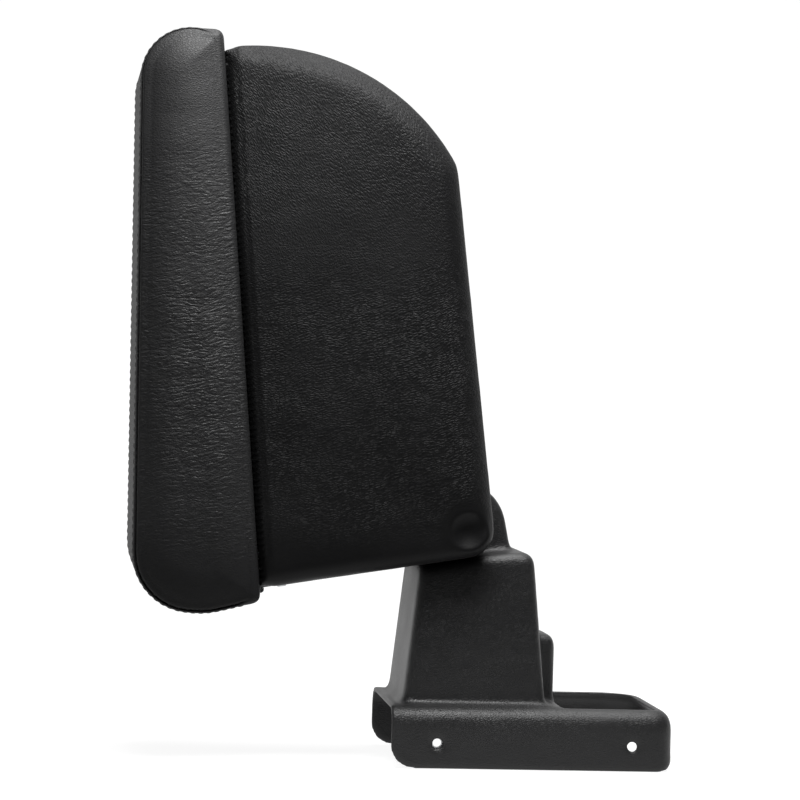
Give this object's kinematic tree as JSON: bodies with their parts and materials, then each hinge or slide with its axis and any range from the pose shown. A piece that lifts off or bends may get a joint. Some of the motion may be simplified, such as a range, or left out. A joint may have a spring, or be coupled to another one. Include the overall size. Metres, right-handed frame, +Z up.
{
  "type": "car armrest",
  "caption": "Folding car armrest: a padded black lid hinged on a grained storage box, which pivots on a moulded base that screws to the sides of a centre console.",
  "frame": {"origin": "on the middle plane, level with the lower edges of the base's flanges and directly below the arm's pivot", "axes": "+Z up with the arm raised, +X towards the front of the car, the way the arm folds down, +Y to the left of the car"},
  "size_m": [0.2784, 0.12, 0.3649],
  "materials": {
    "moulded_black": "satin black thermoformed sheet with a fine grain",
    "grained_black": "satin black moulding with a leather-like grain",
    "black_leather": "soft black leather-like upholstery with fine creases and topstitching",
    "black_felt": "black felt lining",
    "grey_foam": "grey upholstery foam",
    "plywood": "raw birch plywood",
    "zinc_steel": "zinc-plated steel",
    "white_nylon": "natural nylon",
    "ferrite": "dark grey sintered ferrite"
  },
  "bodies": {
    "base": {"base_shell": "moulded_black", "pivot_bracket_left": "zinc_steel", "pivot_bracket_right": "zinc_steel", "pivot_sleeve": "zinc_steel"},
    "arm": {"storage_box": "grained_black", "storage_liner": "black_felt", "pivot_plate_left": "zinc_steel", "pivot_plate_right": "zinc_steel", "friction_washer_left": "white_nylon", "friction_washer_right": "white_nylon", "pivot_spacer_left": "zinc_steel", "pivot_spacer_right": "zinc_steel", "pivot_bolt": "zinc_steel", "pivot_nut": "zinc_steel", "plate_screw_1": "zinc_steel", "plate_screw_2": "zinc_steel", "plate_screw_3": "zinc_steel", "plate_screw_4": "zinc_steel", "hinge_leaf_box": "zinc_steel", "box_leaf_screw_1": "zinc_steel", "box_leaf_screw_2": "zinc_steel", "hinge_pin": "zinc_steel", "magnet_holder": "moulded_black", "latch_magnet": "ferrite"},
    "lid": {"lid_cover": "black_leather", "lid_foam": "grey_foam", "lid_board": "plywood", "lid_lining": "black_felt", "hinge_leaf_lid": "zinc_steel", "lid_leaf_screw_1": "zinc_steel", "lid_leaf_screw_2": "zinc_steel", "strike_plate": "zinc_steel", "strike_screw_1": "zinc_steel", "strike_screw_2": "zinc_steel"}
  },
  "joints": [
    {"name": "arm_tilt", "type": "hinge", "parent": "base", "child": "arm", "pos_m": [0, 0, 0.1193], "axis": [0, 1, 0], "range_deg": [0, 90]},
    {"name": "lid_hinge", "type": "hinge", "parent": "arm", "child": "lid", "pos_m": [-0.10142, 0, 0.08598], "axis": [0, -1, 0], "range_deg": [0, 95]}
  ]
}
